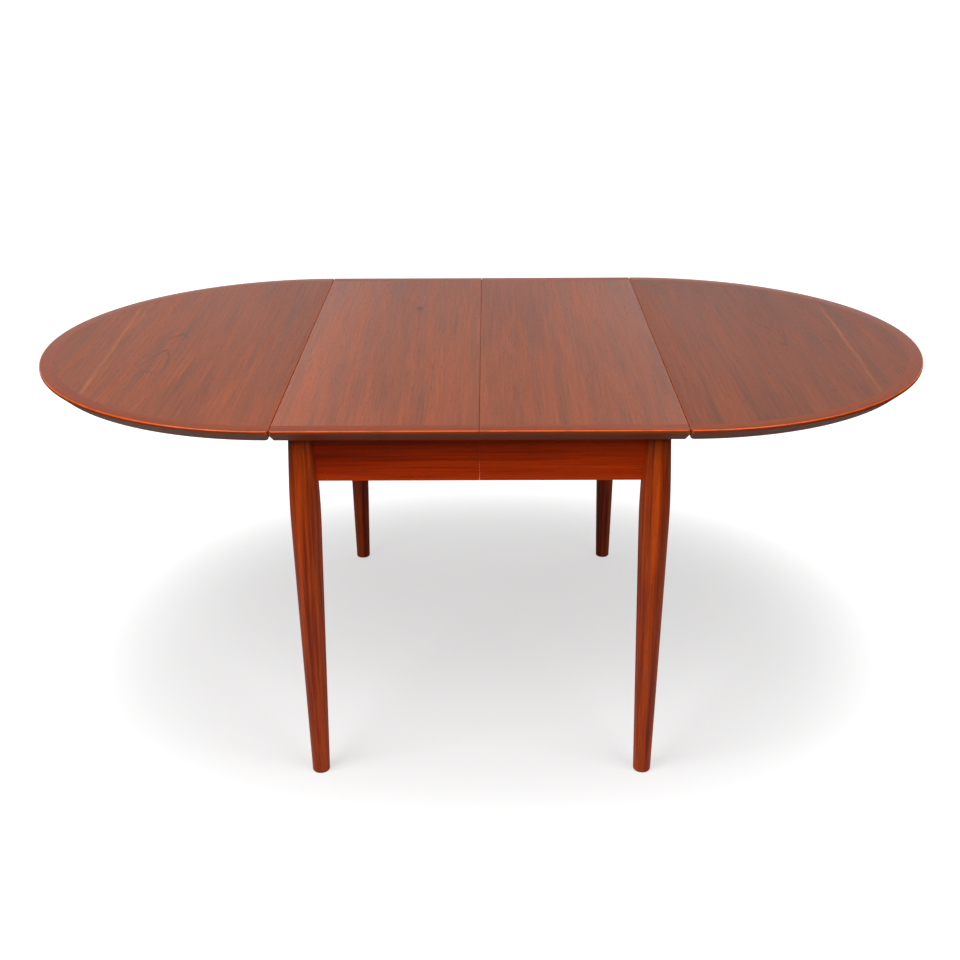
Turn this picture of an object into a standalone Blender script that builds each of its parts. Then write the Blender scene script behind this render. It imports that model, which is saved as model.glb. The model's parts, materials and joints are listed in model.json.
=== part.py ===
"""Extending drop leaf dining table, Danish pattern, in teak.

The centre of the top is split across the middle: the two halves slide apart on
wooden runners, so that a loose leaf can be laid between them.  A half elliptical
leaf is hinged to each end and is held up by two lopers that pull out of the end
apron.  Four turned legs carry it.

Metres, +Z up.  X runs along the table, Y across it and the floor is z = 0.
The left half is the fixed one; the right half slides along +X.
"""

import math

import bmesh
import bpy
from mathutils import Matrix, Vector

# ---------------------------------------------------------------- sizes

TABLE_HEIGHT = 0.730
TOP_THICKNESS = 0.024
TOP_DEPTH = 1.072            # across the table, along Y
CENTRE_LENGTH = 0.725        # from seam to seam, along X
LEAF_REACH = 0.536           # from a seam to the tip of its leaf
SEAM_GAP = 0.0016            # between a leaf and the centre
SPLIT_GAP = 0.0010           # between the two halves of the top
GLUE_GAP = 0.0003            # between pieces that are fixed face to face

EDGE_ROUND = 0.002           # rounding of the top edge
EDGE_FLAT = 0.0035           # upright part of the edge
UNDERCUT_WIDTH = 0.020       # how far the edge is cut away underneath
LIPPING_WIDTH = 0.028        # solid wood band around the veneered panels
SEAM_CHAMFER_HEIGHT = 0.014  # underside of the centre's seam edge
SEAM_CHAMFER_ROOM = 0.0014   # chamfer width beyond the hinge knuckle
LEAF_ROUND_ROOM = 0.0054     # width of the leaf's rounding beyond the knuckle
LEAF_ROUND_RISE = 0.0030     # how much taller than wide that rounding is
LEAF_CURVE_STEPS = 56

LEG_SETBACK_X = 0.0480       # leg axis inside the seam
LEG_SETBACK_Y = 0.0577       # leg axis inside the long edge
FOOT_RADIUS = 0.0167
FOOT_ROUND = 0.003
SHOULDER_DROP = 0.2293       # where the straight taper ends, below the top
SHOULDER_RADIUS = 0.0264
BELLY_DROP = 0.1451          # widest part, below the underside of the top
BELLY_RADIUS = 0.0277
LEG_TOP_RADIUS = 0.0231
LEG_TOP_SLOPE = -0.035
LEG_SIDES = 28

APRON_HEIGHT = 0.0875
APRON_THICKNESS = 0.022
APRON_FACE_OFFSET = 0.010    # outer face beyond the leg axis
APRON_SPLIT_GAP = 0.0006
BLOCK_SIDE = 0.048           # corner blocks, along each apron
BLOCK_HEIGHT = 0.055

RUNNER_ROOM = 0.056          # between a corner block and the outer runner
RUNNER_WIDTH = 0.024
RUNNER_HEIGHT = 0.034
RUNNER_CLEARANCE = 0.0006
RUNNER_END_GAP = 0.016       # between a runner and an end apron
TONGUE_DEPTH = 0.005
TONGUE_HEIGHT = 0.009
DOWEL_RADIUS = 0.004
DOWEL_LENGTH = 0.040
DOWEL_OUT = 0.016            # how far a dowel stands out of the right half
DOWEL_SETBACK = 0.177        # outer dowels from the long edges
DOWEL_CLEARANCE = 0.0004

LOPER_ROOM = 0.020           # between the inner runner and a loper guide
LOPER_LANE_GAP = 0.004       # between the lanes of the left and right lopers
LOPER_WIDTH = 0.024
LOPER_HEIGHT = 0.028
LOPER_STROKE = 0.200
LOPER_CLEARANCE = 0.0008
LOPER_REVEAL = 0.002         # outer end beyond the face of the end apron
STOP_PLAY = 0.002            # left between a stop and its guide when pulled out
STOP_LENGTH = 0.014
STOP_DROP = 0.010
GUIDE_LENGTH = 0.036
GUIDE_SETBACK = 0.020        # between a guide and the end apron
GUIDE_WALL = 0.010
GUIDE_FLOOR = 0.008

HINGE_SETBACK = 0.157        # middle of a hinge from the long edge
HINGE_LENGTH = 0.060
HINGE_REACH = 0.026          # from the pin to the far edge of a plate
PLATE_THICKNESS = 0.0016
POCKET_CLEARANCE = 0.0004
KNUCKLE_RADIUS = 0.0036
KNUCKLE_GAP = 0.0006
PIN_RADIUS = 0.0016
PIN_CLEARANCE = 0.0003

UNDERSIDE = TABLE_HEIGHT - TOP_THICKNESS
SEAM_X = CENTRE_LENGTH / 2
UNDERCUT_HEIGHT = TOP_THICKNESS - EDGE_ROUND - EDGE_FLAT
FRAME_TOP = UNDERSIDE - GLUE_GAP
LEG_SPREAD_X = SEAM_X - LEG_SETBACK_X
LEG_SPREAD_Y = TOP_DEPTH / 2 - LEG_SETBACK_Y
SHOULDER_HEIGHT = FRAME_TOP - SHOULDER_DROP
END_APRON_OUTER = LEG_SPREAD_X + APRON_FACE_OFFSET
END_APRON_INNER = END_APRON_OUTER - APRON_THICKNESS
SIDE_APRON_OUTER = LEG_SPREAD_Y + APRON_FACE_OFFSET
SIDE_APRON_INNER = SIDE_APRON_OUTER - APRON_THICKNESS
RUNNER_PITCH = RUNNER_WIDTH + RUNNER_CLEARANCE
LEG_INSET = (LEG_SPREAD_X - END_APRON_INNER) + (LEG_SPREAD_Y - SIDE_APRON_INNER)
BLOCK_CUT = math.sqrt(2) * BELLY_RADIUS - LEG_INSET     # clears the leg
RUNNER_OUTER = SIDE_APRON_INNER - BLOCK_SIDE - RUNNER_ROOM
RUNNER_LANE = RUNNER_OUTER - RUNNER_PITCH - RUNNER_WIDTH / 2
RUNNER_INNER = RUNNER_LANE - RUNNER_PITCH - RUNNER_WIDTH / 2
LOPER_TOP = UNDERSIDE - LOPER_CLEARANCE
LOPER_BOTTOM = LOPER_TOP - LOPER_HEIGHT
GUIDE_HALF = LOPER_WIDTH / 2 + LOPER_CLEARANCE + GUIDE_WALL
GUIDE_START = END_APRON_INNER - GUIDE_SETBACK - GUIDE_LENGTH
LOPER_INNER_END = GUIDE_START - STOP_PLAY - LOPER_STROKE - STOP_LENGTH
LOPER_LANE = {"left": RUNNER_INNER - LOPER_ROOM - GUIDE_HALF}
LOPER_LANE["right"] = LOPER_LANE["left"] - 2 * GUIDE_HALF - LOPER_LANE_GAP
HINGE_LANE = TOP_DEPTH / 2 - HINGE_SETBACK
DOWEL_SPACING = TOP_DEPTH / 2 - DOWEL_SETBACK
SEAM_CHAMFER_WIDTH = KNUCKLE_RADIUS + SEAM_CHAMFER_ROOM
LEAF_ROUND_WIDTH = KNUCKLE_RADIUS + LEAF_ROUND_ROOM
LEAF_ROUND_HEIGHT = LEAF_ROUND_WIDTH + LEAF_ROUND_RISE


# ---------------------------------------------------------------- materials

def wood(name, colour, roughness):
    material = bpy.data.materials.new(name)
    material.use_nodes = True
    shader = material.node_tree.nodes["Principled BSDF"]
    shader.inputs["Base Color"].default_value = (*colour, 1.0)
    shader.inputs["Roughness"].default_value = roughness
    shader.inputs["Metallic"].default_value = 0.0
    material.diffuse_color = (*colour, 1.0)
    return material


def metal(name, colour, roughness):
    material = wood(name, colour, roughness)
    material.node_tree.nodes["Principled BSDF"].inputs["Metallic"].default_value = 1.0
    return material


# ---------------------------------------------------------------- meshes and objects

def add_object(name, mesh, material, parent=None):
    obj = bpy.data.objects.new(name, mesh)
    bpy.context.scene.collection.objects.link(obj)
    if not obj.data.materials:
        obj.data.materials.append(material)
    if parent is not None:
        obj.parent = parent
        obj.matrix_parent_inverse = Matrix.Translation(-parent.location)
    return obj


def add_pivot(name, location):
    empty = bpy.data.objects.new(name, None)
    empty.empty_display_size = 0.05
    empty.location = location
    bpy.context.scene.collection.objects.link(empty)
    return empty


def to_mesh(name, bm, smooth_angle=None):
    bmesh.ops.recalc_face_normals(bm, faces=bm.faces)
    mesh = bpy.data.meshes.new(name)
    bm.to_mesh(mesh)
    bm.free()
    if smooth_angle is not None:
        mesh.shade_smooth()
        mesh.set_sharp_from_angle(angle=math.radians(smooth_angle))
    return mesh


def box(low, high):
    """A block between two opposite corners, given in any order."""
    bm = bmesh.new()
    bmesh.ops.create_cube(bm, size=1.0)
    low = Vector(low)
    high = Vector(high)
    size = high - low
    bmesh.ops.scale(bm, vec=(abs(size.x), abs(size.y), abs(size.z)), verts=bm.verts)
    bmesh.ops.translate(bm, vec=(low + high) / 2, verts=bm.verts)
    return bm


def prism(points, travel):
    """A flat outline pushed along a vector."""
    bm = bmesh.new()
    corners = [bm.verts.new(point) for point in points]
    face = bm.faces.new(corners)
    pushed = bmesh.ops.extrude_face_region(bm, geom=[face])
    moved = [item for item in pushed["geom"] if isinstance(item, bmesh.types.BMVert)]
    bmesh.ops.translate(bm, vec=travel, verts=moved)
    return bm


def turned(profile, sides):
    """A solid of revolution about Z from (radius, height) points, bottom to top."""
    bm = bmesh.new()
    points = [bm.verts.new((radius, 0.0, height)) for radius, height in profile]
    bottom = bm.verts.new((0.0, 0.0, profile[0][1]))
    top = bm.verts.new((0.0, 0.0, profile[-1][1]))
    line = [bottom] + points + [top]
    edges = [bm.edges.new(pair) for pair in zip(line, line[1:])]
    bmesh.ops.spin(bm, geom=line + edges, axis=(0, 0, 1), cent=(0, 0, 0),
                   angle=2 * math.pi, steps=sides, use_merge=True)
    bmesh.ops.remove_doubles(bm, verts=bm.verts, dist=0.00001)
    return bm


def rod(radius, start, end, sides=20):
    """A round bar from one point to another."""
    bm = bmesh.new()
    start = Vector(start)
    run = Vector(end) - start
    bmesh.ops.create_cone(bm, cap_ends=True, segments=sides, radius1=radius,
                          radius2=radius, depth=run.length)
    turn = Vector((0, 0, 1)).rotation_difference(run).to_matrix().to_4x4()
    place = Matrix.Translation(start + run / 2)
    bmesh.ops.transform(bm, matrix=place @ turn, verts=bm.verts)
    return bm


def cut_away(bm, point, normal):
    """Remove everything on the side the normal points to, and close the cut."""
    everything = bm.verts[:] + bm.edges[:] + bm.faces[:]
    bmesh.ops.bisect_plane(bm, geom=everything, dist=0.0000001, plane_co=point,
                           plane_no=normal, clear_outer=True)
    rim = [edge for edge in bm.edges if edge.is_boundary]
    bmesh.ops.holes_fill(bm, edges=rim, sides=0)


def add_cutter(name, bm):
    cutter = bpy.data.objects.new(name, to_mesh(name, bm))
    cutter.hide_render = True
    cutter.display_type = "WIRE"
    bpy.context.scene.collection.objects.link(cutter)
    return cutter


def combine(obj, other, operation="DIFFERENCE"):
    modifier = obj.modifiers.new(other.name, "BOOLEAN")
    modifier.operation = operation
    modifier.solver = "EXACT"
    modifier.object = other


# ---------------------------------------------------------------- the top

def table_outline(inset):
    """Points around the whole top, at a distance inside its edge."""
    half_depth = TOP_DEPTH / 2
    points = []
    for end in (1, -1):
        for step in range(LEAF_CURVE_STEPS + 1):
            angle = math.pi * (step / LEAF_CURVE_STEPS - 0.5)
            across = math.cos(angle)
            along = math.sin(angle)
            slope = Vector((across / LEAF_REACH, along / half_depth)).normalized()
            x = SEAM_X + LEAF_REACH * across - inset * slope.x
            y = half_depth * along - inset * slope.y
            points.append((end * x, end * y))
    return points


def plank():
    """The whole top as one board, with its rounded and undercut edge."""
    edge_foot = UNDERSIDE + UNDERCUT_HEIGHT
    points = [(x, y, edge_foot) for x, y in table_outline(0.0)]
    bm = prism(points, (0, 0, TABLE_HEIGHT - edge_foot))
    bm.faces.ensure_lookup_table()
    bmesh.ops.recalc_face_normals(bm, faces=bm.faces)
    under = min(bm.faces, key=lambda face: face.calc_center_median().z)
    bmesh.ops.inset_region(bm, faces=[under], thickness=UNDERCUT_WIDTH,
                           depth=UNDERCUT_HEIGHT, use_even_offset=True)
    rim = [edge for edge in bm.edges
           if min(vert.co.z for vert in edge.verts) > TABLE_HEIGHT - 0.00001]
    bmesh.ops.bevel(bm, geom=rim, offset=EDGE_ROUND, offset_type="OFFSET", segments=3,
                    profile=0.5, affect="EDGES", clamp_overlap=True, material=-1)
    return bm


def core(inset):
    """The board inside the lipping, full thickness."""
    points = [(x, y, UNDERSIDE) for x, y in table_outline(inset)]
    return prism(points, (0, 0, TOP_THICKNESS))


def trim_half(bm, side):
    """Keep one half of the centre, and chamfer its seam edge underneath."""
    cut_away(bm, (side * SPLIT_GAP / 2, 0, 0), (-side, 0, 0))
    seam = SEAM_X - SEAM_GAP / 2
    cut_away(bm, (side * seam, 0, 0), (side, 0, 0))
    foot = (side * (seam - SEAM_CHAMFER_WIDTH), 0, UNDERSIDE)
    cut_away(bm, foot, (side * SEAM_CHAMFER_HEIGHT, 0, -SEAM_CHAMFER_WIDTH))


def trim_leaf(bm, side):
    """Keep one leaf, and round its seam edge underneath with three facets."""
    seam = SEAM_X + SEAM_GAP / 2
    cut_away(bm, (side * seam, 0, 0), (-side, 0, 0))
    for turn in (22, 45, 68):
        lean = math.radians(turn)
        spot_x = seam + LEAF_ROUND_WIDTH * (1 - math.cos(lean))
        spot_z = UNDERSIDE + LEAF_ROUND_HEIGHT * (1 - math.sin(lean))
        normal = (-side * math.cos(lean) / LEAF_ROUND_WIDTH, 0,
                  -math.sin(lean) / LEAF_ROUND_HEIGHT)
        cut_away(bm, (side * spot_x, 0, spot_z), normal)


def hinge_pockets(name, obj, side, toward):
    """Recesses under a panel for its hinge plates; toward is +1 on the leaf."""
    for place, y in (("front", -HINGE_LANE), ("back", HINGE_LANE)):
        reach = HINGE_REACH + POCKET_CLEARANCE
        half = HINGE_LENGTH / 2 + POCKET_CLEARANCE
        near = (side * (SEAM_X - toward * 0.001), y - half, UNDERSIDE - 0.002)
        far = (side * (SEAM_X + toward * reach), y + half,
               UNDERSIDE + PLATE_THICKNESS + POCKET_CLEARANCE)
        cutter = add_cutter(f"cut_pocket_{name}_{place}", box(near, far))
        combine(obj, cutter)


def make_top(name, side, parent, teak):
    """One half of the centre: its panel and its two lippings."""
    bm = core(LIPPING_WIDTH + GLUE_GAP / 2)
    trim_half(bm, side)
    panel = add_object(f"top_{name}", to_mesh(f"top_{name}", bm), teak, parent)
    hinge_pockets(f"top_{name}", panel, side, -1)
    for place, front in (("front", -1), ("back", 1)):
        bm = plank()
        trim_half(bm, side)
        inner = TOP_DEPTH / 2 - LIPPING_WIDTH + GLUE_GAP / 2
        cut_away(bm, (0, front * inner, 0), (0, -front, 0))
        label = f"lipping_{name}_{place}"
        add_object(label, to_mesh(label, bm, 30), teak, parent)
    return panel


def make_leaf(name, side, parent, teak):
    """One leaf: its panel and the curved lipping around it."""
    bm = core(LIPPING_WIDTH + GLUE_GAP / 2)
    trim_leaf(bm, side)
    panel = add_object(f"leaf_{name}", to_mesh(f"leaf_{name}", bm, 30), teak, parent)
    hinge_pockets(f"leaf_{name}", panel, side, 1)
    bm = plank()
    trim_leaf(bm, side)
    label = f"lipping_leaf_{name}"
    lipping = add_object(label, to_mesh(label, bm, 30), teak, parent)
    points = [(x, y, UNDERSIDE - 0.005)
              for x, y in table_outline(LIPPING_WIDTH - GLUE_GAP / 2)]
    bm = prism(points, (0, 0, TOP_THICKNESS + 0.010))
    combine(lipping, add_cutter(f"cut_core_{name}", bm))


# ---------------------------------------------------------------- legs and aprons

def hermite(start, end, start_slope, end_slope, s):
    span = end[0] - start[0]
    rise = (1 + 2 * s) * (1 - s) ** 2 * start[1] + s * s * (3 - 2 * s) * end[1]
    return rise + span * (s * (1 - s) ** 2 * start_slope - s * s * (1 - s) * end_slope)


def leg_profile(extra=0.0):
    """Radius and height up a leg: straight taper, belly, then drawn in to the top."""
    belly = (FRAME_TOP - BELLY_DROP, BELLY_RADIUS)
    shoulder = (SHOULDER_HEIGHT, SHOULDER_RADIUS)
    top = (FRAME_TOP, LEG_TOP_RADIUS)
    slope = (SHOULDER_RADIUS - FOOT_RADIUS) / SHOULDER_HEIGHT
    points = []
    for turn in (0, 45, 90):
        lean = math.radians(turn)
        radius = FOOT_RADIUS - FOOT_ROUND * (1 - math.sin(lean))
        points.append((radius + extra, FOOT_ROUND * (1 - math.cos(lean))))
    for step in (1, 2, 3, 4):
        height = FOOT_ROUND + (SHOULDER_HEIGHT - FOOT_ROUND) * step / 4
        points.append((FOOT_RADIUS + slope * height + extra, height))
    for step in (1, 2, 3):
        radius = hermite(shoulder, belly, slope, 0.0, step / 3)
        points.append((radius + extra, shoulder[0] + (belly[0] - shoulder[0]) * step / 3))
    for step in range(1, 8):
        radius = hermite(belly, top, 0.0, LEG_TOP_SLOPE, step / 7)
        points.append((radius + extra, belly[0] + (top[0] - belly[0]) * step / 7))
    return points


def leg_cutter(name, x, y):
    """The space a leg takes from its neighbours, with the glue gap around it."""
    profile = leg_profile(GLUE_GAP)
    profile.append((LEG_TOP_RADIUS + GLUE_GAP, FRAME_TOP + 0.010))
    cutter = add_cutter(f"cut_{name}", turned(profile, LEG_SIDES))
    cutter.location = (x, y, 0)
    return cutter


def make_frame(name, side, parent, teak, beech):
    """Legs, aprons and corner blocks of one half."""
    leg_mesh = to_mesh(f"leg_{name}", turned(leg_profile(), LEG_SIDES), 30)
    cutters = []
    for place, front in (("front", -1), ("back", 1)):
        x = side * LEG_SPREAD_X
        y = front * LEG_SPREAD_Y
        leg = add_object(f"leg_{place}_{name}", leg_mesh, teak, parent)
        leg.location = (x, y, 0)
        cutter = leg_cutter(f"leg_{place}_{name}", x, y)
        cutters.append(cutter)

        label = f"apron_{place}_{name}"
        low = (side * APRON_SPLIT_GAP / 2, front * SIDE_APRON_INNER,
               FRAME_TOP - APRON_HEIGHT)
        high = (x, front * SIDE_APRON_OUTER, FRAME_TOP)
        apron = add_object(label, to_mesh(label, box(low, high)), teak, parent)
        combine(apron, cutter)

        label = f"block_{place}_{name}"
        corner_x = side * (END_APRON_INNER - GLUE_GAP)
        corner_y = front * (SIDE_APRON_INNER - GLUE_GAP)
        bottom = FRAME_TOP - BLOCK_HEIGHT
        points = [(corner_x - side * BLOCK_CUT, corner_y, bottom),
                  (corner_x - side * BLOCK_SIDE, corner_y, bottom),
                  (corner_x, corner_y - front * BLOCK_SIDE, bottom),
                  (corner_x, corner_y - front * BLOCK_CUT, bottom)]
        bm = prism(points, (0, 0, BLOCK_HEIGHT))
        add_object(label, to_mesh(label, bm), beech, parent)

    label = f"apron_end_{name}"
    low = (side * END_APRON_INNER, -LEG_SPREAD_Y, FRAME_TOP - APRON_HEIGHT)
    high = (side * END_APRON_OUTER, LEG_SPREAD_Y, FRAME_TOP)
    apron = add_object(label, to_mesh(label, box(low, high)), teak, parent)
    for cutter in cutters:
        combine(apron, cutter)
    for place, front in (("front", -1), ("back", 1)):
        half = LOPER_WIDTH / 2 + LOPER_CLEARANCE
        middle = front * LOPER_LANE[name]
        low = (side * (END_APRON_INNER - 0.005), middle - half,
               LOPER_BOTTOM - LOPER_CLEARANCE)
        high = (side * (END_APRON_OUTER + 0.005), middle + half, FRAME_TOP + 0.005)
        combine(apron, add_cutter(f"cut_notch_{place}_{name}", box(low, high)))


# ---------------------------------------------------------------- runners and dowels

def runner_section(middle, front, tongue_in, tongue_out, grooved):
    """Outline of a runner across its length, as (y, z) points."""
    half = RUNNER_WIDTH / 2
    top = UNDERSIDE - RUNNER_CLEARANCE
    bottom = top - RUNNER_HEIGHT
    centre = (top + bottom) / 2
    tongue = TONGUE_HEIGHT / 2
    groove = tongue + RUNNER_CLEARANCE
    inner = middle - half
    outer = middle + half
    points = [(inner, bottom)]
    if tongue_in:
        points += [(inner, centre - tongue), (inner - TONGUE_DEPTH, centre - tongue),
                   (inner - TONGUE_DEPTH, centre + tongue), (inner, centre + tongue)]
    if grooved:
        points += [(inner, centre - groove), (inner + TONGUE_DEPTH, centre - groove),
                   (inner + TONGUE_DEPTH, centre + groove), (inner, centre + groove)]
    points += [(inner, top), (outer, top)]
    if tongue_out:
        points += [(outer, centre + tongue), (outer + TONGUE_DEPTH, centre + tongue),
                   (outer + TONGUE_DEPTH, centre - tongue), (outer, centre - tongue)]
    if grooved:
        points += [(outer, centre + groove), (outer - TONGUE_DEPTH, centre + groove),
                   (outer - TONGUE_DEPTH, centre - groove), (outer, centre - groove)]
    points.append((outer, bottom))
    return [(front * y, z) for y, z in points]


def make_runner(label, front, lane, start, end, shape, parent, beech):
    section = runner_section(lane, front, *shape)
    points = [(start, y, z) for y, z in section]
    bm = prism(points, (end - start, 0, 0))
    add_object(label, to_mesh(label, bm), beech, parent)


def make_runners(middle_pivot, right_pivot, beech):
    """Two sets of three runners, each sliding on the next by tongue and groove."""
    far = END_APRON_INNER - RUNNER_END_GAP
    near = far - 0.010
    for place, front in (("front", -1), ("back", 1)):
        make_runner(f"runner_left_{place}", front, RUNNER_LANE + RUNNER_PITCH, -far, near,
                    (True, False, False), None, beech)
        make_runner(f"runner_middle_{place}", front, RUNNER_LANE, -near, near,
                    (False, False, True), middle_pivot, beech)
        make_runner(f"runner_right_{place}", front, RUNNER_LANE - RUNNER_PITCH, -near, far,
                    (False, True, False), right_pivot, beech)


def make_dowels(left_panel, right_panel, right_pivot, beech):
    """Pins in the split edge that line the two halves up."""
    height = UNDERSIDE + TOP_THICKNESS / 2
    for number in (-1, 0, 1):
        y = number * DOWEL_SPACING
        place = ("front", "middle", "back")[number + 1]
        start = (-SPLIT_GAP / 2 - DOWEL_OUT, y, height)
        end = (start[0] + DOWEL_LENGTH, y, height)
        bm = rod(DOWEL_RADIUS, start, end, 16)
        label = f"dowel_{place}"
        add_object(label, to_mesh(label, bm, 40), beech, right_pivot)
        hole = DOWEL_RADIUS + DOWEL_CLEARANCE
        deep = (start[0] - 0.002, y, height)
        split = (SPLIT_GAP / 4, y, height)
        combine(left_panel, add_cutter(f"cut_hole_{place}_left", rod(hole, deep, split, 16)))
        split = (-SPLIT_GAP / 4, y, height)
        deep = (end[0] + 0.002, y, height)
        combine(right_panel, add_cutter(f"cut_hole_{place}_right", rod(hole, split, deep, 16)))


# ---------------------------------------------------------------- lopers and guides

def make_loper(label, side, lane, parent, teak):
    """A sliding bar that carries a raised leaf, with a stop at its inner end."""
    outer = END_APRON_OUTER + LOPER_REVEAL
    stop = LOPER_INNER_END + STOP_LENGTH
    y = lane - LOPER_WIDTH / 2
    outline = [(LOPER_INNER_END, LOPER_TOP), (outer, LOPER_TOP), (outer, LOPER_BOTTOM),
               (stop, LOPER_BOTTOM), (stop, LOPER_BOTTOM - STOP_DROP),
               (LOPER_INNER_END, LOPER_BOTTOM - STOP_DROP)]
    points = [(side * x, y, z) for x, z in outline]
    bm = prism(points, (0, LOPER_WIDTH, 0))
    add_object(label, to_mesh(label, bm), teak, parent)


def make_guide(label, side, lane, parent, beech):
    """A bracket under the top that a loper runs through."""
    half = LOPER_WIDTH / 2 + LOPER_CLEARANCE
    wide = GUIDE_HALF
    floor = LOPER_BOTTOM - LOPER_CLEARANCE
    outline = [(-wide, FRAME_TOP), (-wide, floor - GUIDE_FLOOR), (wide, floor - GUIDE_FLOOR),
               (wide, FRAME_TOP), (half, FRAME_TOP), (half, floor),
               (-half, floor), (-half, FRAME_TOP)]
    points = [(side * GUIDE_START, lane + y, z) for y, z in outline]
    bm = prism(points, (side * GUIDE_LENGTH, 0, 0))
    add_object(label, to_mesh(label, bm), beech, parent)


# ---------------------------------------------------------------- hinges

def hinge_side(name, knuckles, brass):
    """A hinge plate with its knuckles, drawn with the pin along Y through the origin.

    The plate reaches towards -X; knuckles is a list of (start, end) along Y.
    """
    half = HINGE_LENGTH / 2
    edge = KNUCKLE_RADIUS + KNUCKLE_GAP
    plate = box((-HINGE_REACH, -half, 0), (-edge, half, PLATE_THICKNESS))
    obj = bpy.data.objects.new(name, to_mesh(name, plate))
    obj.data.materials.append(brass)
    bpy.context.scene.collection.objects.link(obj)
    for number, (start, end) in enumerate(knuckles):
        arm = box((-edge - 0.001, start, 0), (0, end, PLATE_THICKNESS))
        barrel = rod(KNUCKLE_RADIUS, (0, start, 0), (0, end, 0), 20)
        for kind, bm in (("arm", arm), ("barrel", barrel)):
            part = add_cutter(f"{name}_{kind}_{number}", bm)
            part.parent = obj
            combine(obj, part, "UNION")
    hole = rod(PIN_RADIUS + PIN_CLEARANCE, (0, -half - 0.01, 0), (0, half + 0.01, 0), 14)
    part = add_cutter(f"{name}_hole", hole)
    part.parent = obj
    combine(obj, part)
    return obj


def make_hinge(name, side, y, fixed_parent, leaf_parent, brass, steel):
    """One butt hinge under a seam: fixed plate, leaf plate and pin."""
    half = HINGE_LENGTH / 2
    third = HINGE_LENGTH / 6
    outside = [(-half, -third - KNUCKLE_GAP / 2), (third + KNUCKLE_GAP / 2, half)]
    inside = [(-third + KNUCKLE_GAP / 2, third - KNUCKLE_GAP / 2)]
    place = Vector((side * SEAM_X, y, UNDERSIDE))
    turn = 0.0 if side > 0 else math.pi
    pin_mesh = to_mesh(f"pin_{name}", rod(PIN_RADIUS, (0, -half, 0), (0, half, 0), 14), 40)
    pin = add_object(f"pin_{name}", pin_mesh, steel, fixed_parent)
    fixed = hinge_side(f"hinge_fixed_{name}", outside, brass)
    moving = hinge_side(f"hinge_leaf_{name}", inside, brass)
    for obj, parent, spin in ((pin, fixed_parent, turn), (fixed, fixed_parent, turn),
                              (moving, leaf_parent, turn + math.pi)):
        obj.location = place
        obj.rotation_euler = (0, 0, spin)
        if parent is not None:
            obj.parent = parent
            obj.matrix_parent_inverse = Matrix.Translation(-parent.location)


# ---------------------------------------------------------------- the table

def main():
    for obj in list(bpy.data.objects):
        bpy.data.objects.remove(obj, do_unlink=True)

    teak = wood("teak", (0.30, 0.085, 0.035), 0.34)
    beech = wood("beech", (0.52, 0.31, 0.17), 0.55)
    brass = metal("brass", (0.70, 0.50, 0.22), 0.32)
    steel = metal("steel", (0.55, 0.54, 0.52), 0.30)

    right = add_pivot("pivot_right_half", (SPLIT_GAP / 2, 0, UNDERSIDE))
    middle = add_pivot("pivot_middle_runners", (0, 0, UNDERSIDE))
    halves = (("left", -1, None), ("right", 1, right))
    panels = {}
    for name, side, parent in halves:
        panels[name] = make_top(name, side, parent, teak)
        make_frame(name, side, parent, teak, beech)
        leaf = add_pivot(f"pivot_leaf_{name}", (side * SEAM_X, 0, UNDERSIDE))
        make_leaf(name, side, leaf, teak)
        for place, front in (("front", -1), ("back", 1)):
            label = f"{place}_{name}"
            lane = front * LOPER_LANE[name]
            slide = add_pivot(f"pivot_loper_{label}", (side * END_APRON_OUTER, lane, LOPER_TOP))
            make_loper(f"loper_{label}", side, lane, slide, teak)
            make_guide(f"guide_{label}", side, lane, parent, beech)
            make_hinge(label, side, front * HINGE_LANE, parent, leaf, brass, steel)
    make_runners(middle, right, beech)
    make_dowels(panels["left"], panels["right"], right, beech)


main()
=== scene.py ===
# %% [markdown]
# # An extending drop leaf table in teak
#
# This lesson dresses a finished joinery model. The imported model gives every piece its
# place and its motion. Here each wooden piece is made again with softer edges, and every
# piece gets a finish that is worked out by nodes, so there are no pictures to load.
# Lengths are in metres. X runs along the table, Y across it, and the floor is at z = 0.

# %% Load the frame and note its size
import json
import math

import bmesh
import bpy
from mathutils import Matrix, Vector

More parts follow.
